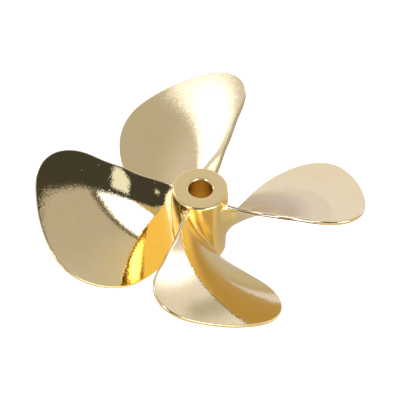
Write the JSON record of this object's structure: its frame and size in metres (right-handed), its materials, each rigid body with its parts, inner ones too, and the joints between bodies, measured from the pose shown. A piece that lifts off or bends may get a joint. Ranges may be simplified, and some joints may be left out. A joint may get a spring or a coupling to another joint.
{
  "type": "boat propeller",
  "caption": "Left-hand brass boat propeller with wide, twisted blades of brass plate brazed to a plain-bored turned hub, polished all over.",
  "frame": {"origin": "on the shaft axis, on the hub's lower end face, which is the lowest point", "axes": "+Z along the shaft axis towards the upper hub end; blade_1 points along +X and the others follow at 90 degree steps anticlockwise seen from above"},
  "size_m": [0.1086, 0.1086, 0.0293],
  "materials": {
    "hub": "turned and polished",
    "blades": "mirror polished with faint hand-finishing marks",
    "braze": "polished filler metal"
  },
  "bodies": {
    "root": {"hub": "hub", "blade_1": "blades", "blade_2": "blades", "blade_3": "blades", "blade_4": "blades", "braze_face_1": "braze", "braze_face_2": "braze", "braze_face_3": "braze", "braze_face_4": "braze", "braze_back_1": "braze", "braze_back_2": "braze", "braze_back_3": "braze", "braze_back_4": "braze"}
  },
  "joints": []
}
